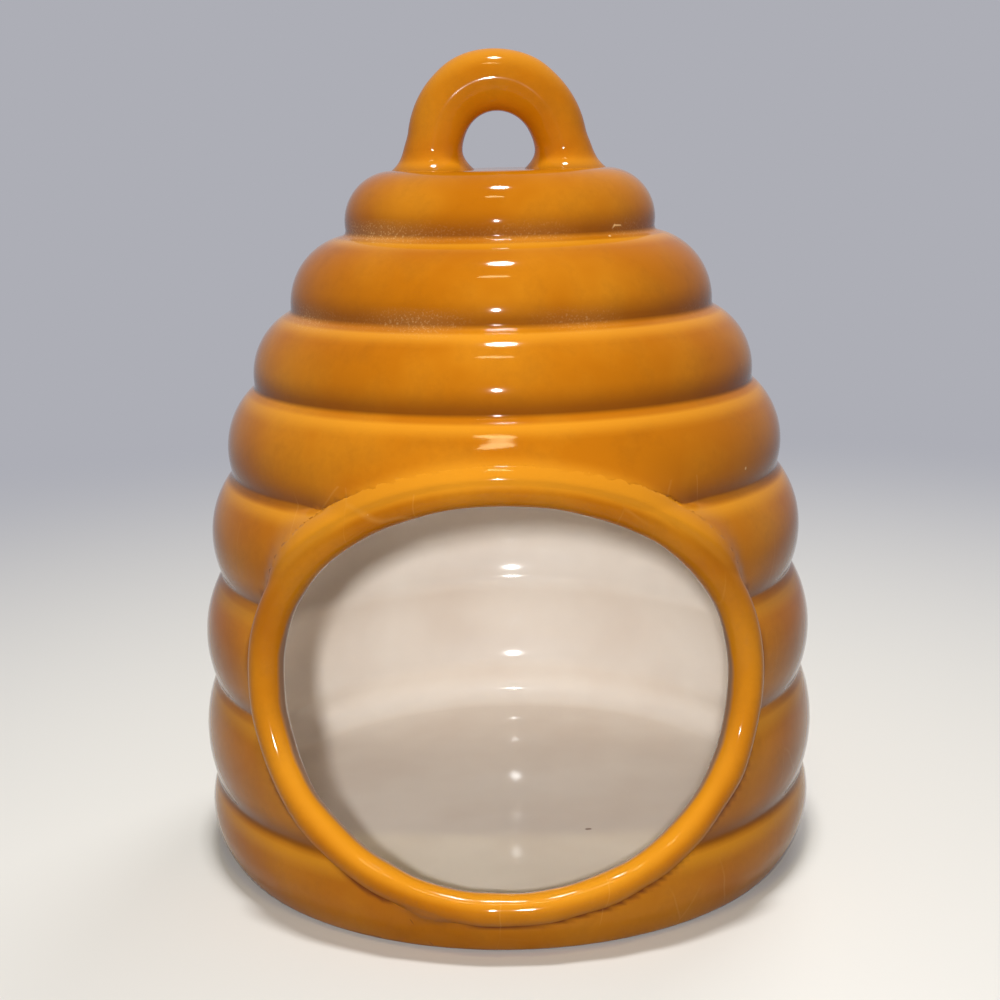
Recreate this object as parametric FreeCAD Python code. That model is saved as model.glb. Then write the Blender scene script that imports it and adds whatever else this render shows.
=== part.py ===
import FreeCAD, Part
import math
import os

# Driving dimensions in millimetres
# The jar stands on Z = 0 with its axis on Z, and its mouth faces -Y.
hive_diameter = 120.0
crown_height = 131.0
wall_thickness = 4.0
groove_round = 0.8
foot_round = 1.8
floor_thickness = 5.5
lining_thickness = 0.5
lining_cove = 4.5
mouth_width = 78.6
mouth_height = 65.3
mouth_centre_height = 44.7
bead_diameter = 6.0
bead_sink = 0.8
loop_hole_width = 13.6
loop_hole_height = 11.0
loop_thickness = 11.3
loop_flare = 1.1
crown_margin = 0.8

# The seven grooves below the crown's tiers and the foot's edge, from the top down:
# their radii as shares of the hive's radius, and their heights as shares of the crown's height
groove_radius_shares = (0.486, 0.669, 0.794, 0.876, 0.925, 0.960, 0.973, 0.935)
groove_height_shares = (0.911, 0.804, 0.698, 0.574, 0.427, 0.271, 0.119, 0)

# How far each tier under the crown swells past the line between its two grooves, as shares of that line
tier_swell_shares = (0.197, 0.167, 0.158, 0.148, 0.124, 0.100, 0.148)

# The mouth's lower half is fuller than an ellipse by this share on its diagonals
mouth_fullness_share = 0.03

# The lining's cove is limited to this share of the lowest tier's radius inside the lining
cove_limit_share = 0.46

# Tiers whose crests guide the bead round the mouth, counted down from the crown as zero
guide_tiers = (3, 5, 7)
bead_stations = 12
heading_step_share = 0.0001

# Sizes that follow from the driving dimensions
hive_radius = hive_diameter / 2
bead_radius = bead_diameter / 2
bead_half_width = mouth_width / 2 + bead_radius
bead_half_height = mouth_height / 2 + bead_radius
loop_radius = loop_thickness / 2
loop_bend = loop_hole_width / 2 + loop_radius
loop_centre_height = crown_height + loop_hole_height - loop_hole_width / 2
crown_flat_radius = loop_bend + loop_radius + loop_flare + crown_margin
floor_top = floor_thickness + lining_thickness
lining_depth = wall_thickness + lining_thickness

axis_foot = FreeCAD.Vector(0, 0, 0)
axis_up = FreeCAD.Vector(0, 0, 1)
frontwards = FreeCAD.Vector(0, -1, 0)


def at(radius, height):
    return FreeCAD.Vector(radius, 0, height)


def unit(start, end):
    return (end - start).normalize()


def groove_points():
    points = []
    for radius_share, height_share in zip(groove_radius_shares, groove_height_shares):
        points.append(at(hive_radius * radius_share, crown_height * height_share))
    return points


def crown_circle(groove):
    # The crown's shoulder is tangent to its flat top and passes through the first groove
    aside = groove.x - crown_flat_radius
    down = crown_height - groove.z
    radius = (aside ** 2 + down ** 2) / (2 * down)
    return at(crown_flat_radius, crown_height - radius), radius


def tier_circle(upper, lower, swell_share):
    chord = lower - upper
    swell = chord.Length * swell_share
    radius = (chord.Length ** 2 / 4 + swell ** 2) / (2 * swell)
    outwards = FreeCAD.Vector(-chord.z, 0, chord.x).normalize()
    return (upper + lower) / 2 + outwards * (swell - radius), radius


def tier_circles():
    points = groove_points()
    circles = [crown_circle(points[0])]
    for upper, lower, swell_share in zip(points, points[1:], tier_swell_shares):
        circles.append(tier_circle(upper, lower, swell_share))
    return circles


def groove_centre(upper, lower):
    # Centre of the small round that touches the tier above a groove and the tier below it
    near, far = upper[1] + groove_round, lower[1] + groove_round
    step = lower[0] - upper[0]
    along = (step.Length ** 2 + near ** 2 - far ** 2) / (2 * step.Length)
    aside = math.sqrt(near ** 2 - along ** 2)
    outwards = FreeCAD.Vector(-step.z, 0, step.x).normalize()
    return upper[0] + unit(upper[0], lower[0]) * along + outwards * aside


circles = tier_circles()
groove_centres = [groove_centre(upper, lower) for upper, lower in zip(circles, circles[1:])]
bottom_centre, bottom_radius = circles[-1]


def line(start, end):
    return Part.LineSegment(start, end).toShape()


def arc_about(centre, radius, start, end):
    middle = (unit(centre, start) + unit(centre, end)).normalize()
    return Part.Arc(start, centre + middle * radius, end).toShape()


def inner_round(depth, floor, radius):
    # Centre of a round that rests on the floor height and touches the lowest tier from inside
    height = floor + radius
    reach = bottom_radius - depth - radius
    return at(bottom_centre.x + math.sqrt(reach ** 2 - (height - bottom_centre.z) ** 2), height)


def wall_line(depth, last_point):
    # The tiers' outline at a depth under the outer surface, from the crown down to the lowest tier
    edges = []
    here = at(crown_flat_radius, crown_height - depth)
    edges.append(line(at(0, crown_height - depth), here))
    for index, centre in enumerate(groove_centres):
        upper, upper_radius = circles[index]
        lower, lower_radius = circles[index + 1]
        leave = upper + unit(upper, centre) * (upper_radius - depth)
        arrive = lower + unit(lower, centre) * (lower_radius - depth)
        edges.append(arc_about(upper, upper_radius - depth, here, leave))
        edges.append(arc_about(centre, groove_round + depth, leave, arrive))
        here = arrive
    edges.append(arc_about(bottom_centre, bottom_radius - depth, here, last_point))
    return edges


def lowest_tier_point(depth, height):
    reach = bottom_radius - depth
    return at(bottom_centre.x + math.sqrt(reach ** 2 - (height - bottom_centre.z) ** 2), height)


def rounded_end(depth, floor, radius):
    # Where the lowest tier ends above a round, and the round's edge down to the floor height
    centre = inner_round(depth, floor, radius)
    leave = bottom_centre + unit(bottom_centre, centre) * (bottom_radius - depth)
    landing = at(centre.x, floor)
    return leave, arc_about(centre, radius, leave, landing), landing


def turned(edges):
    # Edges sorted into a closed outline and turned about the axis
    outline = Part.Wire(Part.__sortEdges__(edges))
    return Part.Face(outline).revolve(axis_foot, axis_up, 360)


def crest_radius(height):
    # Radius of the smooth barrel over the guide tiers' crests
    total = 0
    for here in guide_tiers:
        centre, radius = circles[here]
        weight = 1
        for other in guide_tiers:
            if other != here:
                weight *= (height - circles[other][0].z) / (centre.z - circles[other][0].z)
        total += (centre.x + radius) * weight
    return total


def mouth_point(turn):
    # A point on the bead's middle line, seen straight from the front
    angle = 2 * math.pi * turn
    fullness = 1
    if math.sin(angle) < 0:
        fullness += mouth_fullness_share * math.sin(2 * angle) ** 2
    across = bead_half_width * math.cos(angle) * fullness
    return at(across, mouth_centre_height + bead_half_height * math.sin(angle) * fullness)


def bead_point(turn):
    # The same point, laid on the barrel of the tiers
    point = mouth_point(turn)
    reach = crest_radius(point.z) - bead_sink
    return point + frontwards * math.sqrt(reach ** 2 - point.x ** 2)


def heading(curve, turn):
    return unit(curve(turn - heading_step_share), curve(turn + heading_step_share))


def arc_leaving(start, heading, end):
    chord = end - start
    aside = (chord - heading * chord.dot(heading)).normalize()
    radius = chord.dot(chord) / (2 * chord.dot(aside))
    return arc_about(start + aside * radius, radius, start, end)


def arc_pair(start, start_heading, end, end_heading):
    # Two arcs from one station to the next, each along its station's heading, smooth where they meet
    chord = end - start
    spread = 2 * (1 - start_heading.dot(end_heading))
    pull = chord.dot(start_heading + end_heading)
    reach = (math.sqrt(pull ** 2 + spread * chord.dot(chord)) - pull) / spread
    meeting = (start + start_heading * reach + end - end_heading * reach) / 2
    return [arc_leaving(start, start_heading, meeting), arc_leaving(end, -end_heading, meeting)]


def closed_path(curve):
    # A smooth ring of arcs through evenly spaced stations on a curve
    turns = [index / bead_stations for index in range(bead_stations + 1)]
    edges = []
    for here, there in zip(turns, turns[1:]):
        edges += arc_pair(curve(here), heading(curve, here), curve(there), heading(curve, there))
    return Part.Wire(Part.__sortEdges__(edges))


def mouth_bead():
    section = Part.Circle(bead_point(0), heading(bead_point, 0), bead_radius).toShape()
    tube = closed_path(bead_point).makePipeShell([Part.Wire(section)], False, False)
    return Part.Solid(Part.Shell(tube.Faces))


def mouth_tunnel():
    # The opening through the front wall, as wide as the middle line of the bead
    return Part.Face(closed_path(mouth_point)).extrude(frontwards * hive_diameter)


def slab_edge():
    # The floor's slanted edge, from the foot's flat ring up to the wall's inner face
    landing = rounded_end(0, 0, foot_round)[2]
    return at(landing.x - wall_thickness, 0), lowest_tier_point(wall_thickness, floor_thickness)


def hive_shell():
    leave, foot_arc, landing = rounded_end(0, 0, foot_round)
    low, high = slab_edge()
    edges = wall_line(0, leave) + [foot_arc, line(landing, low), line(low, high)]
    edges += wall_line(wall_thickness, high)
    edges.append(line(at(0, crown_height), at(0, crown_height - wall_thickness)))
    return turned(edges)


def base_slab():
    low, high = slab_edge()
    edges = [line(at(0, 0), low), line(low, high)]
    edges += [line(high, at(0, floor_thickness)), line(at(0, floor_thickness), at(0, 0))]
    return turned(edges)


def white_lining():
    # A skin of glaze on the wall and the floor, pooled into a cove where they meet
    cove_radius = min(lining_cove, cove_limit_share * (bottom_radius - lining_depth))
    backing_end = slab_edge()[1]
    leave, cove, landing = rounded_end(lining_depth, floor_top, cove_radius)
    edges = wall_line(wall_thickness, backing_end) + wall_line(lining_depth, leave)
    edges += [cove, line(landing, at(0, floor_top)), line(at(0, floor_top), at(0, floor_thickness))]
    edges.append(line(at(0, floor_thickness), backing_end))
    edges.append(line(at(0, crown_height - wall_thickness), at(0, crown_height - lining_depth)))
    return turned(edges)


def loop_leg(side):
    # A short leg that flares where it is luted to the crown
    rise = loop_centre_height - crown_height
    flare_radius = (rise ** 2 + loop_flare ** 2) / (2 * loop_flare)
    neck = at(loop_radius, loop_centre_height)
    foot = at(loop_radius + loop_flare, crown_height)
    flare_centre = at(loop_radius + flare_radius, loop_centre_height)
    top, bottom = at(0, loop_centre_height), at(0, crown_height)
    flare = arc_about(flare_centre, flare_radius, neck, foot)
    leg = turned([line(top, neck), flare, line(foot, bottom), line(bottom, top)])
    leg.translate(FreeCAD.Vector(side * loop_bend, 0, 0))
    return leg


def loop_handle():
    centre = at(0, loop_centre_height)
    section = Part.Wire(Part.Circle(at(loop_bend, loop_centre_height), axis_up, loop_radius).toShape())
    arch = Part.Face(section).revolve(centre, frontwards, 180)
    return arch.fuse([loop_leg(1), loop_leg(-1)]).removeSplitter()


bead = mouth_bead()
tunnel = mouth_tunnel()
pieces = {
    "hive_shell": hive_shell().cut(tunnel).cut(bead),
    "base_slab": base_slab(),
    "mouth_collar": bead,
    "loop_handle": loop_handle(),
    "white_lining": white_lining().cut(tunnel).cut(bead),
}

os.makedirs("parts", exist_ok=True)
for name, shape in pieces.items():
    shape.exportStep(f"parts/{name}.step")
    print(name, "solids", len(shape.Solids), "valid", shape.isValid(), "volume", round(shape.Volume, 1))
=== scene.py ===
import math

import bmesh
import bpy
from mathutils import Matrix, Vector, kdtree, noise


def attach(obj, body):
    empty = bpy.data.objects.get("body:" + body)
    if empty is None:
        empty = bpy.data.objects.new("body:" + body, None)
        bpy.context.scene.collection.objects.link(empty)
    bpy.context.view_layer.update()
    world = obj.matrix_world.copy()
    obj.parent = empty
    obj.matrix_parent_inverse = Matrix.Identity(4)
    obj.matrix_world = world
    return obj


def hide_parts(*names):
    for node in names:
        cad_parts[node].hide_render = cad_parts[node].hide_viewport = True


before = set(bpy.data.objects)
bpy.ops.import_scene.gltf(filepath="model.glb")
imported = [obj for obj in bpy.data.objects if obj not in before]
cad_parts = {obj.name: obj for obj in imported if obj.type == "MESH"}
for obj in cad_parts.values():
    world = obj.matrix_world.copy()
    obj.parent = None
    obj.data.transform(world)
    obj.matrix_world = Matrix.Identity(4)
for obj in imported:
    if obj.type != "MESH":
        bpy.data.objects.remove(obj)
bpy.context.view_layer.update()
metresPerMm = 0.001          # pieces are drawn in mm and scaled when they are finished
print("frame loaded:", ", ".join(sorted(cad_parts)))


# colours and nodes

def fromHex(code):
    channels = [int(code[place:place + 2], 16) / 255 for place in (0, 2, 4)]
    linear = [c / 12.92 if c <= 0.04045 else ((c + 0.055) / 1.055) ** 2.4 for c in channels]
    return (*linear, 1.0)


def addNode(tree, kind, inputs=None, **settings):
    node = tree.nodes.new(kind)
    for name, value in settings.items():
        setattr(node, name, value)
    for socket, value in (inputs or {}).items():
        if isinstance(value, bpy.types.NodeSocket):
            tree.links.new(value, node.inputs[socket])
        else:
            node.inputs[socket].default_value = value
    return node


def newMaterial(name):
    material = bpy.data.materials.new(name)
    material.use_nodes = True
    return material, material.node_tree, material.node_tree.nodes["Principled BSDF"]


def perMm(size):
    # texture scale that gives a pattern this many mm across
    return 1 / (size * metresPerMm)


# amber glaze, poured over cream clay and fired glossy: warm and deep, uneven where it ran, darker where it
# pooled, with painted shade under the tiers, round the handle's feet and beside the bead, and painted light
# on the shoulders and on faces that look up, breaking to brown and white where it meets the lining, with a
# few hairlines and grains
amber = {
    "body": "B56903",
    # deep is thick glaze in the clouds, and under the tiers and round the handle's feet it is also painted
    # shade
    "deep": "763D02",
    # light is thin glaze in the clouds, and on the shoulders, the ridge over the mouth and faces that look
    # up it is also painted light
    "light": "DE9420",
    "crease": "6A2D06",       # thick glaze and painted shade in the line beside the bead
    "breaking": "96745C",     # where it thins over the white inside the mouth
    "white": "EDE2D8",
    "hairline": "EDB765",
    "grain": "F0C685",
    "stain": "7A4306",
    # sizes are in mm, limits are the noise values where a layer begins and is full, and shares are its
    # strength there
    "cloudSize": 24.0,
    "cloudLimits": (0.42, 0.72),
    "cloudShare": 0.5,
    "mottleSize": 6.0,
    "mottleLimits": (0.48, 0.75),
    "mottleShare": 0.22,
    "hazeShare": 0.14,        # milky in the upper grooves
    "dustSize": 0.35,
    "dustLimits": (0.55, 0.75),
    "dustShare": 0.6,
    "dustDullness": 0.3,
    "hairlineGap": 13.0,
    "hairlineWidth": 0.012,   # of the gap
    "hairlineShare": 0.15,
    "hairlineRadius": 55.0,   # the hairlines are laid out on a cylinder of this radius
    "hairlineHeight": 0.3,    # and drawn out upwards by shortening heights to this share
    "hairlineTop": 80.0,
    "driftSize": 9.0,         # how the hairlines wander
    "drift": 1.5,
    "patchSize": 19.0,        # and where they show
    "patchLimits": (0.5, 0.62),
    "grainGap": 15.0,
    "grainLimits": (0.012, 0.024),
    "grainShare": 0.8,
    "edgeSize": 7.0,          # how the edge over the white wanders
    "edgeWander": 0.1,
    "breakingLimits": (0.60, 0.68),
    "whiteLimits": (0.78, 0.86),
    "rippleSize": 6.0,
    "rippleDepth": 0.012,
    "gloss": 0.07,
    "ior": 1.54,
    "specular": 0.11,
    # single marks: colour, width, and the two ends of the stroke, in mm
    "marks": (
        ("grain", 0.30, (19.6, -22.5, 119.2), (20.6, -21.0, 121.0)),    # a hook-shaped chip on the crown
        ("grain", 0.24, (20.6, -21.0, 121.0), (21.8, -19.8, 120.9)),
        ("stain", 0.45, (-27.5, -49.4, 1.1), (-22.5, -51.9, 0.9)),      # scorched spots at the foot
        ("stain", 0.30, (-20.6, -52.7, 1.0), (-18.9, -53.3, 0.8)),
        ("stain", 0.14, (-16.8, -56.9, 6.5), (-13.2, -55.3, 0.9)),      # a crack down to the foot
    ),
}


stroke = {
    "core": 0.4,              # share of the width inside which a stroke is full
    "share": 0.85,
}


def strokeShare(tree, place, width, start, end):
    # full on a straight stroke between two places in mm, fading to 0 at its edge
    start, end = Vector(start) * metresPerMm, Vector(end) * metresPerMm
    along = end - start
    fromStart = addNode(tree, "ShaderNodeVectorMath", {0: place, 1: start}, operation="SUBTRACT")
    share = addNode(tree, "ShaderNodeVectorMath",
                    {0: fromStart.outputs["Vector"], 1: along / along.length_squared},
                    operation="DOT_PRODUCT")
    share = addNode(tree, "ShaderNodeMath", {0: share.outputs["Value"], 1: 1.0}, operation="MULTIPLY",
                    use_clamp=True)
    nearest = addNode(tree, "ShaderNodeVectorMath", {0: along, "Scale": share.outputs["Value"]},
                      operation="SCALE")
    away = addNode(tree, "ShaderNodeVectorMath",
                   {0: fromStart.outputs["Vector"], 1: nearest.outputs["Vector"]}, operation="DISTANCE")
    edge = width * metresPerMm
    shown = addNode(tree, "ShaderNodeMapRange",
                    {"Value": away.outputs["Value"], "From Min": stroke["core"] * edge, "From Max": edge,
                     "To Min": stroke["share"], "To Max": 0.0})
    return shown.outputs["Result"]


def runLayers(tree, place):
    # broad clouds where the glaze ran thin, and small ones where it ran thick
    cloud = addNode(tree, "ShaderNodeTexNoise",
                    {"Vector": place, "Scale": perMm(amber["cloudSize"]), "Detail": 3.0, "Roughness": 0.55})
    begin, full = amber["cloudLimits"]
    thin = addNode(tree, "ShaderNodeMapRange", {"Value": cloud.outputs["Fac"], "From Min": begin,
                                                "From Max": full, "To Max": amber["cloudShare"]})
    mottle = addNode(tree, "ShaderNodeTexNoise", {"Vector": place, "Scale": perMm(amber["mottleSize"]),
                                                  "Detail": 5.0, "Roughness": 0.65})
    begin, full = amber["mottleLimits"]
    thick = addNode(tree, "ShaderNodeMapRange", {"Value": mottle.outputs["Fac"], "From Min": begin,
                                                 "From Max": full, "To Max": amber["mottleShare"]})
    return [(thin.outputs["Result"], "light"), (thick.outputs["Result"], "deep")]


def dustShare(tree, place, frost):
    # pale grains in the upper grooves
    dust = addNode(tree, "ShaderNodeTexNoise",
                   {"Vector": place, "Scale": perMm(amber["dustSize"]), "Detail": 1.0})
    begin, full = amber["dustLimits"]
    dusty = addNode(tree, "ShaderNodeMapRange", {"Value": dust.outputs["Fac"], "From Min": begin,
                                                 "From Max": full, "To Max": amber["dustShare"]})
    dusty = addNode(tree, "ShaderNodeMath", {0: dusty.outputs["Result"], 1: frost}, operation="MULTIPLY")
    return dusty.outputs["Value"]


def hairlineShare(tree, place):
    # mostly upright, drawn wider than the real cracks so that they show
    backwards = addNode(tree, "ShaderNodeMapping", {"Vector": place, "Rotation": (0, 0, math.pi)})
    spot = addNode(tree, "ShaderNodeSeparateXYZ", {"Vector": backwards.outputs["Vector"]})
    angle = addNode(tree, "ShaderNodeMath", {0: spot.outputs["X"], 1: spot.outputs["Y"]},
                    operation="ARCTAN2")
    unrolled = addNode(tree, "ShaderNodeCombineXYZ", {"X": angle.outputs["Value"], "Y": spot.outputs["Z"]})
    stretch = (amber["hairlineRadius"] * metresPerMm, amber["hairlineHeight"], 1.0)
    tall = addNode(tree, "ShaderNodeMapping", {"Vector": unrolled.outputs["Vector"], "Scale": stretch})
    bent = addNode(tree, "ShaderNodeTexNoise",
                   {"Vector": place, "Scale": perMm(amber["driftSize"]), "Detail": 1.0})
    drift = addNode(tree, "ShaderNodeVectorMath",
                    {0: bent.outputs["Color"], "Scale": amber["drift"] * metresPerMm}, operation="SCALE")
    drifted = addNode(tree, "ShaderNodeVectorMath", {0: tall.outputs["Vector"], 1: drift.outputs["Vector"]})
    cracks = addNode(tree, "ShaderNodeTexVoronoi",
                     {"Vector": drifted.outputs["Vector"], "Scale": perMm(amber["hairlineGap"])},
                     feature="DISTANCE_TO_EDGE", voronoi_dimensions="2D")
    line = addNode(tree, "ShaderNodeMapRange",
                   {"Value": cracks.outputs["Distance"], "From Max": amber["hairlineWidth"], "To Min": 1.0,
                    "To Max": 0.0})
    patches = addNode(tree, "ShaderNodeTexNoise", {"Vector": place, "Scale": perMm(amber["patchSize"])})
    begin, full = amber["patchLimits"]
    shown = addNode(tree, "ShaderNodeMapRange", {"Value": patches.outputs["Fac"], "From Min": begin,
                                                 "From Max": full, "To Max": amber["hairlineShare"]})
    low = addNode(tree, "ShaderNodeMath", {0: spot.outputs["Z"], 1: amber["hairlineTop"] * metresPerMm},
                  operation="LESS_THAN")
    shown = addNode(tree, "ShaderNodeMath", {0: shown.outputs["Result"], 1: low.outputs["Value"]},
                    operation="MULTIPLY")
    line = addNode(tree, "ShaderNodeMath", {0: line.outputs["Result"], 1: shown.outputs["Value"]},
                   operation="MULTIPLY")
    return line.outputs["Value"]


def gritShare(tree, place):
    # single grains of white grit
    grit = addNode(tree, "ShaderNodeTexVoronoi", {"Vector": place, "Scale": perMm(amber["grainGap"])})
    full, end = amber["grainLimits"]
    dot = addNode(tree, "ShaderNodeMapRange",
                  {"Value": grit.outputs["Distance"], "From Min": full, "From Max": end,
                   "To Min": amber["grainShare"], "To Max": 0.0})
    return dot.outputs["Result"]


def mouthEdgeLayers(tree, place, inside):
    # the edge inside the mouth, where the amber thins out over the white
    layers = []
    wander = addNode(tree, "ShaderNodeTexNoise",
                     {"Vector": place, "Scale": perMm(amber["edgeSize"]), "Detail": 2.0})
    edge = addNode(tree, "ShaderNodeMath", {0: wander.outputs["Fac"], 1: amber["edgeWander"], 2: inside},
                   operation="MULTIPLY_ADD")
    for colourName in ("breaking", "white"):
        begin, full = amber[colourName + "Limits"]
        shown = addNode(tree, "ShaderNodeMapRange", {"Value": edge.outputs["Value"], "From Min": begin,
                                                     "From Max": full})
        layers.append((shown.outputs["Result"], colourName))
    return layers


def amberGlaze():
    material, tree, shader = newMaterial("amberGlazePoured")
    place = addNode(tree, "ShaderNodeTexCoord").outputs["Object"]
    names = ("poolAndShadeShare", "thinAndLitShare", "creasePoolAndShadeShare", "frostShare", "insideShare")
    pool, shoulder, crease, frost, inside = [
        addNode(tree, "ShaderNodeAttribute", attribute_name=name).outputs["Fac"] for name in names]
    haze = addNode(tree, "ShaderNodeMath", {0: frost, 1: amber["hazeShare"]}, operation="MULTIPLY")
    dusty = dustShare(tree, place, frost)
    layers = runLayers(tree, place)
    # painted light with thin glaze on shoulders, ridge and upward faces; painted shade with thick glaze
    # under the tiers, round the handle's feet and beside the bead
    layers += [(shoulder, "light"), (pool, "deep"), (crease, "crease")]
    layers += [(haze.outputs["Value"], "grain"), (dusty, "grain")]
    layers += [(hairlineShare(tree, place), "hairline"), (gritShare(tree, place), "grain")]
    for colourName, width, start, end in amber["marks"]:
        layers.append((strokeShare(tree, place, width, start, end), colourName))
    layers += mouthEdgeLayers(tree, place, inside)

    # the layers, laid over the body one by one
    colour = fromHex(amber["body"])
    for share, colourName in layers:
        mixed = addNode(tree, "ShaderNodeMix",
                        {"Factor": share, "A": colour, "B": fromHex(amber[colourName])}, data_type="RGBA")
        colour = mixed.outputs["Result"]
    tree.links.new(colour, shader.inputs["Base Color"])

    # the fired surface: glossy, duller where it is grainy, with a slow ripple
    dull = addNode(tree, "ShaderNodeMath", {0: dusty, 1: amber["dustDullness"], 2: amber["gloss"]},
                   operation="MULTIPLY_ADD")
    tree.links.new(dull.outputs["Value"], shader.inputs["Roughness"])
    ripple = addNode(tree, "ShaderNodeTexNoise",
                     {"Vector": place, "Scale": perMm(amber["rippleSize"]), "Detail": 2.0})
    bump = addNode(tree, "ShaderNodeBump", {"Height": ripple.outputs["Fac"], "Strength": 1.0,
                                            "Distance": amber["rippleDepth"] * metresPerMm})
    tree.links.new(bump.outputs["Normal"], shader.inputs["Normal"])
    shader.inputs["IOR"].default_value = amber["ior"]
    shader.inputs["Specular IOR Level"].default_value = amber["specular"]
    return material


# white glaze, poured inside and swilled round: glossy, warm where it is thin, with one grain of grit on
# the floor
white = {
    "body": "FAF0E4",
    "thin": "EEE0D2",
    "speck": "7A4A28",
    "speckPlace": ((14.9, -19.6, 6.0), (15.4, -19.5, 6.0)),
    "speckWidth": 0.5,
    "cloudSize": 30.0,
    "cloudLimits": (0.4, 0.75),
    "rippleSize": 8.0,
    "rippleDepth": 0.02,
    "gloss": 0.09,
    "ior": 1.54,
}


def whiteGlaze():
    material, tree, shader = newMaterial("whiteGlazePoured")
    place = addNode(tree, "ShaderNodeTexCoord").outputs["Object"]
    cloud = addNode(tree, "ShaderNodeTexNoise",
                    {"Vector": place, "Scale": perMm(white["cloudSize"]), "Detail": 3.0})
    begin, full = white["cloudLimits"]
    thin = addNode(tree, "ShaderNodeMapRange", {"Value": cloud.outputs["Fac"], "From Min": begin,
                                                "From Max": full})
    colour = addNode(tree, "ShaderNodeMix", {"Factor": thin.outputs["Result"], "A": fromHex(white["body"]),
                                             "B": fromHex(white["thin"])}, data_type="RGBA")
    speck = strokeShare(tree, place, white["speckWidth"], *white["speckPlace"])
    colour = addNode(tree, "ShaderNodeMix", {"Factor": speck, "A": colour.outputs["Result"],
                                             "B": fromHex(white["speck"])}, data_type="RGBA")
    tree.links.new(colour.outputs["Result"], shader.inputs["Base Color"])
    ripple = addNode(tree, "ShaderNodeTexNoise",
                     {"Vector": place, "Scale": perMm(white["rippleSize"]), "Detail": 1.0})
    bump = addNode(tree, "ShaderNodeBump", {"Height": ripple.outputs["Fac"], "Strength": 1.0,
                                            "Distance": white["rippleDepth"] * metresPerMm})
    tree.links.new(bump.outputs["Normal"], shader.inputs["Normal"])
    shader.inputs["Roughness"].default_value = white["gloss"]
    shader.inputs["IOR"].default_value = white["ior"]
    return material


# cream earthenware, wiped bare under the jar: dry, finely gritty, a little stained
clay = {
    "body": "DCCAAB",
    "stain": "B99A73",
    "gritSize": 0.6,
    "stainSize": 14.0,
    "gritDepth": 0.05,
    "roughness": 0.88,
}


def bareClay():
    material, tree, shader = newMaterial("earthenwareBare")
    place = addNode(tree, "ShaderNodeTexCoord").outputs["Object"]
    stain = addNode(tree, "ShaderNodeTexNoise",
                    {"Vector": place, "Scale": perMm(clay["stainSize"]), "Detail": 5.0})
    colour = addNode(tree, "ShaderNodeMix", {"Factor": stain.outputs["Fac"], "A": fromHex(clay["body"]),
                                             "B": fromHex(clay["stain"])}, data_type="RGBA")
    tree.links.new(colour.outputs["Result"], shader.inputs["Base Color"])
    grit = addNode(tree, "ShaderNodeTexNoise",
                   {"Vector": place, "Scale": perMm(clay["gritSize"]), "Detail": 3.0})
    bump = addNode(tree, "ShaderNodeBump", {"Height": grit.outputs["Fac"], "Strength": 1.0,
                                            "Distance": clay["gritDepth"] * metresPerMm})
    tree.links.new(bump.outputs["Normal"], shader.inputs["Normal"])
    shader.inputs["Roughness"].default_value = clay["roughness"]
    return material


amberMaterial = amberGlaze()
whiteMaterial = whiteGlaze()
clayMaterial = bareClay()
print("materials made")


# the tiers' outline, turned about the axis

hive = {
    "radius": 60.0,
    "height": 131.0,
    "flatTop": 20.0,
    "wall": 4.0,
    "lining": 0.5,
    "floor": 5.5,
    "cove": 4.5,
    "grooveRound": 0.8,
    "footRound": 1.8,
    "grooveRadiusShares": (0.486, 0.669, 0.794, 0.876, 0.925, 0.960, 0.973, 0.935),
    "grooveHeightShares": (0.911, 0.804, 0.698, 0.574, 0.427, 0.271, 0.119, 0.0),
    "tierSwellShares": (0.197, 0.167, 0.158, 0.148, 0.124, 0.100, 0.148),
    "turnSteps": 288,
    "mergeGap": 0.001,
    "topNormal": 0.9,        # faces that look up more than this are outside ones
    "fineStep": 0.75,        # mm between points where the surface shows
    "coarseStep": 3.0,       # and where it is hidden in the wall
    "waveDepth": 0.22,       # unevenness of the cast wall
    "waveSize": 21.0,
    "waveFade": (0.5, 3.0),  # heights between which it sets in above the foot
    "poolAndShadeShare": 0.75,
    "poolReach": 4.0,        # how far the thick glaze and painted shade reach above a groove, under the tier
    "poolPower": 1.5,
    "thinAndLitShare": 0.75,
    "shoulderFade": (0.1, 0.9),
    "shoulderReach": 4.0,    # and how far thin glaze and painted light reach below one
    "grooveFade": 0.3,       # half the width over which above turns to below
    "frostReach": 2.2,       # the frosting in the upper two grooves, in patches, mostly on the left
    "frostPatchSize": 17.0,
    "frostPatchFade": (0.3, 0.7),
    "frostSideFade": (-5.0, 15.0),
    "frostOnRight": 0.3,
}


def flat(x, z):
    return Vector((x, 0.0, z))


def tierCircles():
    grooves = [flat(hive["radius"] * r, hive["height"] * z)
               for r, z in zip(hive["grooveRadiusShares"], hive["grooveHeightShares"])]
    aside = grooves[0].x - hive["flatTop"]
    down = hive["height"] - grooves[0].z
    crownRound = (aside ** 2 + down ** 2) / (2 * down)
    circles = [(flat(hive["flatTop"], hive["height"] - crownRound), crownRound)]
    for upper, lower, share in zip(grooves, grooves[1:], hive["tierSwellShares"]):
        chord = lower - upper
        swell = chord.length * share
        radius = (chord.length ** 2 / 4 + swell ** 2) / (2 * swell)
        outwards = flat(-chord.z, chord.x).normalized()
        circles.append(((upper + lower) / 2 + outwards * (swell - radius), radius))
    return circles


def grooveCentre(upper, lower):
    # centre of the small round between a tier and the next one down
    near = upper[1] + hive["grooveRound"]
    far = lower[1] + hive["grooveRound"]
    step = lower[0] - upper[0]
    along = (step.length ** 2 + near ** 2 - far ** 2) / (2 * step.length)
    outwards = flat(-step.z, step.x).normalized()
    return upper[0] + step.normalized() * along + outwards * math.sqrt(near ** 2 - along ** 2)


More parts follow.
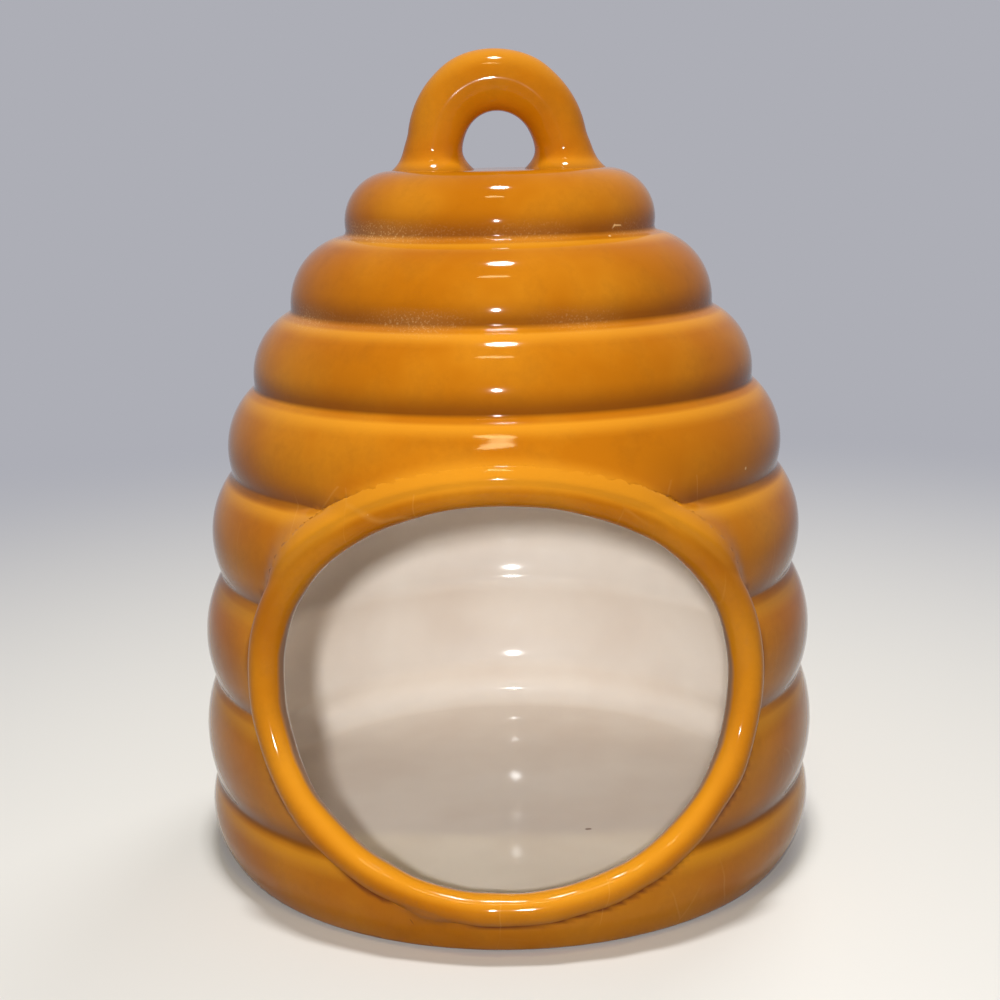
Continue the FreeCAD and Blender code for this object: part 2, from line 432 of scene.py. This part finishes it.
circles = tierCircles()
tierCentres = [centre for centre, radius in circles]
grooveCentres = [grooveCentre(upper, lower) for upper, lower in zip(circles, circles[1:])]
lowCentre, lowRadius = circles[-1]


def drawLine(bm, vert, end, step):
    start = vert.co.copy()
    steps = max(1, round((end - start).length / step))
    for count in range(steps):
        vert = bmesh.ops.extrude_vert_indiv(bm, verts=[vert])["verts"][0]
        vert.co = start.lerp(end, (count + 1) / steps)
    return vert


def drawArc(bm, vert, centre, end, step):
    start, stop = vert.co - centre, end - centre
    angle = math.atan2(start.z * stop.x - start.x * stop.z, start.dot(stop))
    steps = max(2, round(abs(angle) * start.length / step))
    made = bmesh.ops.spin(bm, geom=[vert], cent=centre, axis=(0, 1, 0), angle=angle, steps=steps)
    return [part for part in made["geom_last"] if isinstance(part, bmesh.types.BMVert)][0]


def drawWall(bm, depth, step):
    # the outline at a depth inside the outer surface, from the axis down to the lowest tier
    top = hive["height"] - depth
    vert = drawLine(bm, bm.verts.new(flat(0, top)), flat(hive["flatTop"], top), step)
    for (upper, upperRound), (lower, lowerRound), centre in zip(circles, circles[1:], grooveCentres):
        vert = drawArc(bm, vert, upper, upper + (centre - upper).normalized() * (upperRound - depth), step)
        vert = drawArc(bm, vert, centre, lower + (centre - lower).normalized() * (lowerRound - depth), step)
    return vert


def drawFoot(bm, vert, depth, floor, radius, step):
    # the end of the lowest tier and the round that brings it down to the floor height
    height = floor + radius
    reach = lowRadius - depth - radius
    centre = flat(lowCentre.x + math.sqrt(reach ** 2 - (height - lowCentre.z) ** 2), height)
    leave = lowCentre + (centre - lowCentre).normalized() * (lowRadius - depth)
    vert = drawArc(bm, vert, lowCentre, leave, step)
    return drawArc(bm, vert, centre, flat(centre.x, floor), min(step, radius / 4))


def lowTierPoint(depth, height):
    return flat(lowCentre.x + math.sqrt((lowRadius - depth) ** 2 - (height - lowCentre.z) ** 2), height)


def turnOutline(bm):
    bmesh.ops.spin(bm, geom=bm.verts[:] + bm.edges[:], cent=(0, 0, 0), axis=(0, 0, 1),
                   angle=2 * math.pi, steps=hive["turnSteps"], use_merge=True)
    bmesh.ops.remove_doubles(bm, verts=bm.verts, dist=hive["mergeGap"])


# the mouth and the bead round it

mouth = {
    "halfWidth": 42.3,       # to the middle line of the bead
    "halfHeight": 35.65,
    "middle": 44.7,
    "fullness": 0.03,        # share by which the lower half is fuller than an ellipse
    "beadRadius": 3.0,
    "beadSink": 0.8,
    "outerStretch": 0.17,    # the bead spreads outwards where it was smoothed on, over the top
    "innerStretch": 1.3,     # and runs back to the lining
    "guideTiers": (3, 5, 7),
    "stations": 320,
    "headingStep": 0.0005,   # radians
    "sides": 52,
    "waveDepth": 0.3,
    "lowWaveDepth": 0.35,    # more where it was pressed on below
    "waveSize": 8.0,
    # fades are between two sines of the angle round the mouth, 1 at its top, where no note says otherwise
    "stretchFade": (-0.5, 0.6),
    "lowWaveFade": (0.0, 0.6),
    "crispReach": 0.35,      # mm over which bead and wall run together where it was pressed on
    "blendReach": 6.2,       # and more where it was smoothed on
    "blendFade": (0.32, 0.66),
    "topEasing": 0.35,       # share by which that is less at the very top
    "topFade": (0.85, 1.0),
    "smearReach": 2.2,       # a smear at the lower left
    "smearAngle": 252.0,     # degrees
    "smearWidth": 0.1,       # radians
    "leastReach": 0.05,
    "blendSides": (0.0, 0.8),       # in bead radii towards the wall
    "softShare": 0.3,        # share of the blend over which one surface dives under the other
    "mostRise": 0.8,
    "settleSteps": 4,
    "settleMargin": 1.0,
    "creaseReach": 0.9,      # mm of painted shade and thick glaze on the wall below the bead
    "sideCreaseReach": 1.2,  # and more at the sides of the mouth
    "sideCreaseFade": (0.3, 0.9),   # cosines
    "beadCreaseReach": 0.6,
    "beadCreaseFade": (0.3, 0.5),   # in bead radii towards the wall
    "creaseCore": 0.35,
    "creaseEnd": (0.4, 0.9),        # mm of blending over which the crease ends
    "ridgeShare": 0.6,
    "ridgeFade": (0.4, 0.8),
    "ridgeSides": (0.0, 0.5, 1.0, 2.0),     # in bead radii towards the wall: begins, full, full, ends
    "paintedLightShare": 0.7,       # painted light on the faces that look up, over the lower half
    "upperFade": (0.1, 0.8),        # how far a face looks up
    "lowerHalfFade": (-0.1, 0.3),
    "backShare": 0.92,       # share of the bead's radius behind which the white runs under it
    "cutGap": 0.05,
}


def crestRadius(height):
    # smooth barrel over the crests of the guide tiers
    total = 0
    for here in mouth["guideTiers"]:
        centre, radius = circles[here]
        weight = 1
        for other in mouth["guideTiers"]:
            if other != here:
                weight *= (height - tierCentres[other].z) / (centre.z - tierCentres[other].z)
        total += (centre.x + radius) * weight
    return total


def mouthPoint(angle):
    fuller = 1
    if math.sin(angle) < 0:
        fuller += mouth["fullness"] * math.sin(2 * angle) ** 2
    return flat(mouth["halfWidth"] * math.cos(angle) * fuller,
                mouth["middle"] + mouth["halfHeight"] * math.sin(angle) * fuller)


def beadPoint(angle):
    point = mouthPoint(angle)
    reach = crestRadius(point.z) - mouth["beadSink"]
    point.y = -math.sqrt(reach ** 2 - point.x ** 2)
    return point


def sectionMatrix(angle):
    # the bead's section: X out of the wall, Y into the mouth, Z back along the bead
    step = mouth["headingStep"]
    middle = beadPoint(angle)
    along = (beadPoint(angle + step) - beadPoint(angle - step)).normalized()
    outwards = Vector((middle.x, middle.y, 0)).normalized()
    outwards = (outwards - along * outwards.dot(along)).normalized()
    inwards = outwards.cross(along)
    return Matrix.Translation(middle) @ Matrix((outwards, inwards, -along)).transposed().to_4x4()


def looseObject(name, bm):
    mesh = bpy.data.meshes.new(name)
    bm.to_mesh(mesh)
    bm.free()
    helper = bpy.data.objects.new(name, mesh)
    bpy.context.scene.collection.objects.link(helper)
    return helper


def mouthCutter():
    bm = bmesh.new()
    bmesh.ops.create_circle(bm, cap_ends=True, segments=mouth["stations"], radius=1)
    for vert in bm.verts:
        vert.co = mouthPoint(math.atan2(vert.co.y, vert.co.x))
    front = bmesh.ops.extrude_face_region(bm, geom=bm.faces[:])
    ahead = [part for part in front["geom"] if isinstance(part, bmesh.types.BMVert)]
    bmesh.ops.translate(bm, vec=(0, -2 * hive["radius"], 0), verts=ahead)
    bmesh.ops.recalc_face_normals(bm, faces=bm.faces)
    return looseObject("mouthCutter", bm)


def cutMouth(bm):
    # the wall with the mouth's opening cut through its front
    whole = looseObject("uncut", bm)
    cutter = mouthCutter()
    cut = whole.modifiers.new("mouth", "BOOLEAN")
    cut.operation = "DIFFERENCE"
    cut.object = cutter
    cut.solver = "EXACT"
    seen = whole.evaluated_get(bpy.context.evaluated_depsgraph_get())
    mesh = bpy.data.meshes.new_from_object(seen)
    result = bmesh.new()
    result.from_mesh(mesh)
    for helper in (whole, cutter):
        bpy.data.objects.remove(helper)
    bpy.data.meshes.remove(mesh)
    return result


def addPiece(name, bm, node, material):
    bmesh.ops.scale(bm, vec=(metresPerMm,) * 3, verts=bm.verts)
    for face in bm.faces:
        face.smooth = True
    piece = looseObject(name, bm)
    piece.data.materials.append(material)
    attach(piece, "root")
    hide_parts(node)
    print(name, "made with", len(piece.data.polygons), "faces")


def openEdges(bm):
    return [edge for edge in bm.edges if edge.is_boundary]


def pullRing(bm, edges):
    # a new ring of edges, still in the place of the one that it is pulled from
    made = bmesh.ops.extrude_edge_only(bm, edges=edges)["geom"]
    verts = [part for part in made if isinstance(part, bmesh.types.BMVert)]
    edges = [part for part in made if isinstance(part, bmesh.types.BMEdge)
             and all(vert in verts for vert in part.verts)]
    return verts, edges


def moveVerts(bm, moves):
    for vert, move in zip(bm.verts, moves):
        vert.co += move


def fadeIn(value, low, high):
    share = min(1.0, max(0.0, (value - low) / (high - low)))
    return share * share * (3 - 2 * share)


def waves(place, size):
    return (1 + noise.noise(place / size)) / 2


def filletRise(distance, reach):
    # how far two surfaces swell towards each other where they blend
    return reach / 4 * (1 - min(1.0, max(0.0, distance / reach))) ** 2


def blendReach(angle):
    # the bead is smoothed into the wall over the top of the mouth and pressed on crisply elsewhere
    smear = math.exp(-((angle - math.radians(mouth["smearAngle"])) / mouth["smearWidth"]) ** 2)
    eased = 1 - mouth["topEasing"] * fadeIn(math.sin(angle), *mouth["topFade"])
    smoothed = fadeIn(math.sin(angle), *mouth["blendFade"]) * eased
    return mouth["crispReach"] + mouth["blendReach"] * smoothed + mouth["smearReach"] * smear


def outerStretch(angle):
    return 1 + mouth["outerStretch"] * fadeIn(math.sin(angle), *mouth["stretchFade"])


def creasePoolAndShadeShare(gap, reach, angle):
    # painted shade in the line between bead and wall, where they are not blended, with the glaze standing
    # deep there
    near = 1 - fadeIn(gap, mouth["creaseCore"] * reach, reach)
    return near * (1 - fadeIn(blendReach(angle), *mouth["creaseEnd"]))


def ridgeShare(side, angle):
    # thin glaze and painted light on the soft ridge over the mouth, on the bead and on the wall alike
    begin, full, leave, end = mouth["ridgeSides"]
    over = mouth["ridgeShare"] * fadeIn(math.sin(angle), *mouth["ridgeFade"])
    return over * fadeIn(side, begin, full) * (1 - fadeIn(side, leave, end))


stationAngles = [2 * math.pi * index / mouth["stations"] for index in range(mouth["stations"])]
stationFrames = [sectionMatrix(angle) for angle in stationAngles]
stationViews = [station.inverted() for station in stationFrames]
stationTree = kdtree.KDTree(mouth["stations"])
for index, station in enumerate(stationFrames):
    stationTree.insert(station.translation, index)
stationTree.balance()


def cross(first, second):
    # which way round the second lies from the first, in the flat outline
    return first.x * second.z - first.z * second.x


def wallWave(place):
    return hive["waveDepth"] * waves(place, hive["waveSize"]) * fadeIn(place.z, *hive["waveFade"])


def wallGap(place):
    # distance outside the tiers and the rounds between them
    across = flat(math.hypot(place.x, place.y), place.z)
    gap = min((across - centre).length - radius for centre, radius in circles)
    for upper, lower, groove in zip(tierCentres, tierCentres[1:], grooveCentres):
        aside = across - groove
        turn = cross(upper - groove, lower - groove)
        if cross(upper - groove, aside) * turn > 0 and cross(aside, lower - groove) * turn > 0:
            if aside.length < 2 * hive["grooveRound"]:
                gap = hive["grooveRound"] - aside.length
    return gap + wallWave(place)


def beadGap(place):
    # distance from the uneven bead, the angle round the mouth, and the place's side of the bead,
    # which is 1 at the edge towards the wall
    index = stationTree.find(place)[1]
    angle = stationAngles[index]
    local = stationViews[index] @ place
    side = -local.y / mouth["beadRadius"]
    if local.y < 0:
        local.y /= outerStretch(angle)
    if local.x < 0:
        local.x /= mouth["innerStretch"]
    depth = mouth["waveDepth"] + mouth["lowWaveDepth"] * fadeIn(-math.sin(angle), *mouth["lowWaveFade"])
    gap = math.hypot(local.x, local.y) - mouth["beadRadius"] + depth * waves(place, mouth["waveSize"])
    return gap, angle, side


def onMouthCut(place):
    # whether a place lies on the edge that the mouth's opening cut through the wall
    angle = math.atan2((place.z - mouth["middle"]) / mouth["halfHeight"], place.x / mouth["halfWidth"])
    return place.y < 0 and (flat(place.x, place.z) - mouthPoint(angle)).length < mouth["cutGap"]


def joinGap(place):
    # distance from the wall and the bead run together
    bead, angle, side = beadGap(place)
    if side < 0:
        return bead
    wall = wallGap(place)
    reach = max(mouth["leastReach"], blendReach(angle) * fadeIn(side, *mouth["blendSides"]))
    return min(wall, bead) - filletRise(abs(wall - bead), reach)


def settle(place, normal, past, reach, plainRise):
    # how a place moves along its normal to the joined surface, or under it past the line where the two meet
    soft = mouth["softShare"] * reach
    if past > 2 * soft:
        return normal * (plainRise + filletRise(past, reach))
    under = past ** 2 / (2 * soft) if past < soft else past - soft / 2
    rise = 0.0
    for count in range(mouth["settleSteps"]):
        rise -= joinGap(place + normal * rise) + under
    return normal * (rise if abs(rise) < reach / 4 + mouth["mostRise"] else plainRise)


def grooveGlaze(place):
    # shares of thick glaze with painted shade above the nearest groove, under the tier, of thin glaze with
    # painted light below it, on the shoulder, and of frosting
    across = flat(math.hypot(place.x, place.y), place.z)
    gaps = [(across - centre).length - hive["grooveRound"] for centre in grooveCentres]
    gap = min(gaps)
    nearest = gaps.index(gap)
    downwards = (tierCentres[nearest + 1] - tierCentres[nearest]).normalized()
    drop = (across - grooveCentres[nearest]).dot(downwards)
    below = fadeIn(drop, -hive["grooveFade"], hive["grooveFade"])
    hangingAndShaded = max(0.0, 1 - gap / hive["poolReach"]) ** hive["poolPower"]
    begin, full = hive["shoulderFade"]
    runningAndLit = fadeIn(gap, begin, full) * (1 - fadeIn(gap, full, hive["shoulderReach"]))
    upper = max(0.0, 1 - max(0.0, min(gaps[:2])) / hive["frostReach"])
    right = hive["frostOnRight"]
    leftwards = right + (1 - right) * fadeIn(-place.x, *hive["frostSideFade"])
    frosted = upper * leftwards * fadeIn(waves(place, hive["frostPatchSize"]), *hive["frostPatchFade"])
    return hive["poolAndShadeShare"] * (1 - below) * hangingAndShaded, hive["thinAndLitShare"] * below * runningAndLit, frosted


def hiveShell():
    bm = bmesh.new()
    landing = drawFoot(bm, drawWall(bm, 0, hive["fineStep"]), 0, 0, hive["footRound"], hive["fineStep"])
    slabEdge = flat(landing.co.x - hive["wall"], 0)      # the wall stands round the floor's slanted edge
    inner = drawWall(bm, hive["wall"], hive["coarseStep"])
    inner = drawArc(bm, inner, lowCentre, lowTierPoint(hive["wall"], hive["floor"]), hive["coarseStep"])
    drawLine(bm, inner, slabEdge, hive["coarseStep"])
    turnOutline(bm)
    bmesh.ops.bridge_loops(bm, edges=openEdges(bm))
    bmesh.ops.recalc_face_normals(bm, faces=bm.faces)
    bm = cutMouth(bm)
    bm.normal_update()
    pool = bm.verts.layers.float.new("poolAndShadeShare")
    shoulder = bm.verts.layers.float.new("thinAndLitShare")
    crease = bm.verts.layers.float.new("creasePoolAndShadeShare")
    frost = bm.verts.layers.float.new("frostShare")
    inside = bm.verts.layers.float.new("insideShare")
    moves = []
    for vert in bm.verts:
        place = vert.co
        away, angle, side = beadGap(place)
        reach = blendReach(angle)
        aside = vert.normal.x * place.x + vert.normal.y * place.y
        facesOut = aside > 0 or vert.normal.z > hive["topNormal"]
        if facesOut and side > 0 and away < reach + mouth["settleMargin"]:
            past = max(0.0, wallGap(place) - away)
            moves.append(settle(place, vert.normal, past, reach, -wallWave(place)))
        else:
            moves.append(vert.normal * -wallWave(place))
        # thick glaze with painted shade under each tier, and thin glaze with painted light on the shoulder
        # below it
        vert[pool], thin, vert[frost] = grooveGlaze(place)
        # thin glaze with painted light on the shoulder below a groove and on the ridge over the mouth
        vert[shoulder] = max(thin, ridgeShare(side, angle))
        # painted shade with thick glaze in the line below the bead, reaching wider at the sides of the mouth
        sideways = fadeIn(abs(math.cos(angle)), *mouth["sideCreaseFade"])
        creaseReach = mouth["creaseReach"] + mouth["sideCreaseReach"] * sideways
        vert[crease] = creasePoolAndShadeShare(away, creaseReach, angle)
        # the cut edge of the wall, where it shows behind the bead, is covered by the white
        vert[inside] = 1.0 if onMouthCut(place) else 0.0
    moveVerts(bm, moves)
    addPiece("hiveShell", bm, "hive_shell", amberMaterial)


hiveShell()


def mouthCollar():
    bm = bmesh.new()
    turn = bm.verts.layers.float.new("insideShare")
    bmesh.ops.create_circle(bm, segments=mouth["sides"], radius=mouth["beadRadius"])
    for vert in bm.verts:
        vert[turn] = abs(math.atan2(vert.co.y, vert.co.x)) / math.pi if vert.co.y > 0 else 0.0
        if vert.co.x < -mouth["backShare"] * mouth["beadRadius"]:
            vert[turn] = 1.0
        if vert.co.x < 0:
            vert.co.x *= mouth["innerStretch"]
    bmesh.ops.transform(bm, matrix=stationFrames[0], verts=bm.verts)
    edges = bm.edges[:]
    for before, station in zip(stationFrames, stationFrames[1:]):
        verts, edges = pullRing(bm, edges)
        bmesh.ops.transform(bm, matrix=station @ before.inverted(), verts=verts)
    bmesh.ops.bridge_loops(bm, edges=openEdges(bm))
    bmesh.ops.recalc_face_normals(bm, faces=bm.faces)
    crease = bm.verts.layers.float.new("creasePoolAndShadeShare")
    shoulder = bm.verts.layers.float.new("thinAndLitShare")
    moves = []
    for vert in bm.verts:
        away, angle, side = beadGap(vert.co)
        wall = wallGap(vert.co)
        past = max(0.0, away - wall) if side > 0 else 0.0
        moves.append(settle(vert.co, vert.normal, past, blendReach(angle), -away))
        # painted shade with thick glaze on the bead's side towards the wall
        outer = fadeIn(side, *mouth["beadCreaseFade"])
        vert[crease] = creasePoolAndShadeShare(wall - away, mouth["beadCreaseReach"], angle) * outer
        # painted light on the faces of the bead that look up, over the lower half of the mouth
        lower = 1 - fadeIn(math.sin(angle), *mouth["lowerHalfFade"])
        upwards = mouth["paintedLightShare"] * fadeIn(vert.normal.z, *mouth["upperFade"])
        vert[shoulder] = max(upwards * lower, ridgeShare(side, angle))
    moveVerts(bm, moves)
    addPiece("mouthCollar", bm, "mouth_collar", amberMaterial)


mouthCollar()


def whiteLining():
    bm = bmesh.new()
    back = drawWall(bm, hive["wall"], hive["coarseStep"])
    back = drawArc(bm, back, lowCentre, lowTierPoint(hive["wall"], hive["floor"]), hive["coarseStep"])
    drawLine(bm, back, flat(0, hive["floor"]), hive["coarseStep"])
    turnOutline(bm)
    bmesh.ops.recalc_face_normals(bm, faces=bm.faces)
    depth = hive["wall"] + hive["lining"]
    outline = bmesh.new()
    front = drawWall(outline, depth, hive["fineStep"])
    front = drawFoot(outline, front, depth, hive["floor"] + hive["lining"], hive["cove"], hive["fineStep"])
    drawLine(outline, front, flat(0, hive["floor"] + hive["lining"]), hive["coarseStep"])
    turnOutline(outline)
    bmesh.ops.recalc_face_normals(outline, faces=outline.faces)
    bmesh.ops.reverse_faces(outline, faces=outline.faces)
    skin = bpy.data.meshes.new("skin")
    outline.to_mesh(skin)
    outline.free()
    bm.from_mesh(skin)
    bpy.data.meshes.remove(skin)
    addPiece("whiteLining", cutMouth(bm), "white_lining", whiteMaterial)


whiteLining()


# the loop on the crown

loop = {
    "bend": 12.45,           # from the middle of the hole to the middle of a leg
    "radius": 5.65,
    "centre": 134.8,
    "flare": 2.6,
    "flarePower": 2.2,
    "sides": 44,
    "archSteps": 60,
    "legSteps": 12,
    "sink": 0.4,
    "holeAside": 0.15,       # the hole sits a little to the right of the arch
    "archThicker": 0.2,
    "leastOut": 0.001,
    "narrowShare": 0.06,     # the arch draws in above its splayed legs
    "narrowFade": (2.0, 7.0, 17.0, 22.0),  # mm above the crown: begins, full, full, ends
    "lean": -0.75,
    "poolAndShadeShare": 0.5,        # thicker glaze and painted shade round the feet, in the corner where the legs meet the crown
    "poolReach": 1.2,
    "paintedLightShare": 0.7,       # painted light on the faces that look up
    "upperFade": (0.3, 0.9),
    "waveDepth": 0.15,
    "waveSize": 8.0,
}


def loopHandle():
    bm = bmesh.new()
    start = Matrix.Translation((loop["bend"], 0, loop["centre"]))
    bmesh.ops.create_circle(bm, segments=loop["sides"], radius=loop["radius"], matrix=start)
    first = bm.edges[:]
    made = bmesh.ops.spin(bm, geom=bm.verts[:] + bm.edges[:], cent=(0, 0, loop["centre"]), axis=(0, -1, 0),
                          angle=math.pi, steps=loop["archSteps"])
    last = [part for part in made["geom_last"] if isinstance(part, bmesh.types.BMEdge)]
    rise = loop["centre"] - hive["height"] + loop["sink"]
    for side, edges in ((1, first), (-1, last)):
        for step in range(loop["legSteps"]):
            verts, edges = pullRing(bm, edges)
            shares = [(count / loop["legSteps"]) ** loop["flarePower"] for count in (step, step + 1)]
            wide = [loop["radius"] + loop["flare"] * share for share in shares]
            foot = Matrix.Translation((-side * loop["bend"], 0, -loop["centre"]))
            bmesh.ops.scale(bm, vec=(wide[1] / wide[0], wide[1] / wide[0], 1), verts=verts, space=foot)
            bmesh.ops.translate(bm, vec=(0, 0, -rise / loop["legSteps"]), verts=verts)
    bmesh.ops.holes_fill(bm, edges=openEdges(bm), sides=0)
    bmesh.ops.recalc_face_normals(bm, faces=bm.faces)
    pool = bm.verts.layers.float.new("poolAndShadeShare")
    shoulder = bm.verts.layers.float.new("thinAndLitShare")
    moves = []
    for vert in bm.verts:
        place = vert.co
        up = max(0.0, place.z - loop["centre"])
        out = math.hypot(place.x, up)
        innerShare = min(1.0, max(0.0, (loop["bend"] + loop["radius"] - out) / (2 * loop["radius"])))
        upwards = Vector((0, 0, up / max(out, loop["leastOut"])))
        shift = Vector((loop["holeAside"], 0, 0)) - upwards * loop["archThicker"]
        dent = -loop["waveDepth"] * waves(place, loop["waveSize"])
        above = place.z - hive["height"]
        begin, full, leave, end = loop["narrowFade"]
        narrow = loop["narrowShare"] * fadeIn(above, begin, full) * (1 - fadeIn(above, leave, end))
        draw = Vector((loop["lean"] * above / loop["bend"] / 2 - narrow * place.x, 0, 0))
        moves.append(shift * innerShare + draw + vert.normal * dent)
        # painted shade with thicker glaze at the feet, and painted light on the faces that look up
        vert[pool] = loop["poolAndShadeShare"] * max(0.0, 1 - above / loop["poolReach"])
        vert[shoulder] = loop["paintedLightShare"] * fadeIn(vert.normal.z, *loop["upperFade"])
    moveVerts(bm, moves)
    addPiece("loopHandle", bm, "loop_handle", amberMaterial)


loopHandle()
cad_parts["base_slab"].data.materials.clear()
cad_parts["base_slab"].data.materials.append(clayMaterial)


# floor, light and camera

studio = {
    "floorHalf": 6.0,
    "floorColour": "DCDAD6",
    "floorBounce": "5C5A58",        # its colour for the light that it throws back on the jar
    "skyColour": "ADAEB6",
    "skyFill": 0.24,         # share of the sky's brightness that lights the jar
    "fadeFrom": 0.06,        # metres from the jar where the floor begins to fade into the background
    "fadeTo": 0.46,
    "floorRoughness": 0.95,
    "floorSpecular": 0.1,
}


def seenRays(tree):
    # 1 for rays that show the background or its mirror image, 0 for those that light the jar
    path = addNode(tree, "ShaderNodeLightPath")
    seen = addNode(tree, "ShaderNodeMath",
                   {0: path.outputs["Is Camera Ray"], 1: path.outputs["Is Glossy Ray"]}, operation="MAXIMUM")
    seen = addNode(tree, "ShaderNodeMath",
                   {0: seen.outputs["Value"], 1: path.outputs["Is Transmission Ray"]}, operation="MAXIMUM")
    return seen.outputs["Value"]


def skyStrength(tree):
    strength = addNode(tree, "ShaderNodeMapRange", {"Value": seenRays(tree), "To Min": studio["skyFill"]})
    return strength.outputs["Result"]


def addFloor():
    bm = bmesh.new()
    bmesh.ops.create_grid(bm, x_segments=1, y_segments=1, size=studio["floorHalf"])
    floor = looseObject("studioFloor", bm)
    material, tree, shader = newMaterial("studioPaper")
    colour = addNode(tree, "ShaderNodeMix", {"Factor": seenRays(tree), "A": fromHex(studio["floorBounce"]),
                                             "B": fromHex(studio["floorColour"])}, data_type="RGBA")
    tree.links.new(colour.outputs["Result"], shader.inputs["Base Color"])
    shader.inputs["Roughness"].default_value = studio["floorRoughness"]
    shader.inputs["Specular IOR Level"].default_value = studio["floorSpecular"]
    place = addNode(tree, "ShaderNodeTexCoord").outputs["Object"]
    away = addNode(tree, "ShaderNodeVectorMath", {0: place}, operation="LENGTH").outputs["Value"]
    fade = addNode(tree, "ShaderNodeMapRange",
                   {"Value": away, "From Min": studio["fadeFrom"], "From Max": studio["fadeTo"]},
                   interpolation_type="SMOOTHSTEP")
    glow = addNode(tree, "ShaderNodeEmission", {"Color": fromHex(studio["skyColour"]),
                                                "Strength": skyStrength(tree)})
    mixed = addNode(tree, "ShaderNodeMixShader", {0: fade.outputs["Result"], 1: shader.outputs["BSDF"],
                                                  2: glow.outputs["Emission"]})
    tree.links.new(mixed.outputs["Shader"], tree.nodes["Material Output"].inputs["Surface"])
    floor.data.materials.append(material)


def addWorld():
    world = bpy.data.worlds.new("studioSky")
    world.use_nodes = True
    bpy.context.scene.world = world
    back = world.node_tree.nodes["Background"]
    back.inputs["Color"].default_value = fromHex(studio["skyColour"])
    world.node_tree.links.new(skyStrength(world.node_tree), back.inputs["Strength"])


lamps = {
    # name: place, aim, size in metres, power in watts, colour
    "frontLamp": ((-0.015, -0.46, 0.19), (0, 0, 0.07), (0.024, 0.024), 1.65, "FFFFFF"),
    "overheadLamp": ((0.0, -0.08, 1.15), (0, 0, 0.1), (0.15, 0.15), 7.4, "FFFFFF"),
    "highLamp": ((-0.04, -0.47, 1.0), (0, 0, 0.1), (0.22, 0.055), 1.2, "FFEFB0"),
    "backLamp": ((0.35, 0.75, 0.7), (0, 0, 0.08), (0.5, 0.5), 4.0, "FFFFFF"),
}


def addLamps():
    for name, (place, aim, size, power, colour) in lamps.items():
        lamp = bpy.data.lights.new(name, "AREA")
        lamp.shape = "ELLIPSE"
        lamp.size, lamp.size_y = size
        lamp.energy = power
        lamp.color = fromHex(colour)[:3]
        holder = bpy.data.objects.new(name, lamp)
        holder.location = place
        holder.visible_glossy = name != "backLamp"   # it fills the back and leaves no streak in front
        holder.rotation_euler = (Vector(aim) - Vector(place)).to_track_quat("-Z", "Y").to_euler()
        bpy.context.scene.collection.objects.link(holder)


addFloor()
addWorld()
addLamps()

# the camera stands where the photograph was taken from, found from the jar's outline
camera = {
    "distance": 0.30776,     # from the jar's axis, in metres
    "height": 0.13467,
    "pitch": 12.40,          # degrees down
    "roll": 1.12,
    "aside": 0.7,            # degrees round to the right
    "yaw": 0.18,
    "lens": 57.6,
    "sensor": 36.0,
    "clipStart": 0.01,
}


def addCamera():
    eye = bpy.data.cameras.new("photoCamera")
    eye.lens = camera["lens"]
    eye.sensor_width = camera["sensor"]
    eye.clip_start = camera["clipStart"]
    holder = bpy.data.objects.new("photoCamera", eye)
    aside = math.radians(camera["aside"])
    away = camera["distance"]
    place = Vector((away * math.sin(aside), -away * math.cos(aside), camera["height"]))
    turn = (Matrix.Rotation(aside + math.radians(camera["yaw"]), 4, "Z")
            @ Matrix.Rotation(math.radians(90 - camera["pitch"]), 4, "X")
            @ Matrix.Rotation(math.radians(-camera["roll"]), 4, "Z"))
    holder.matrix_world = Matrix.Translation(place) @ turn
    bpy.context.scene.collection.objects.link(holder)
    bpy.context.scene.camera = holder


addCamera()
bpy.context.scene.view_settings.view_transform = "Standard"
print("studio set")
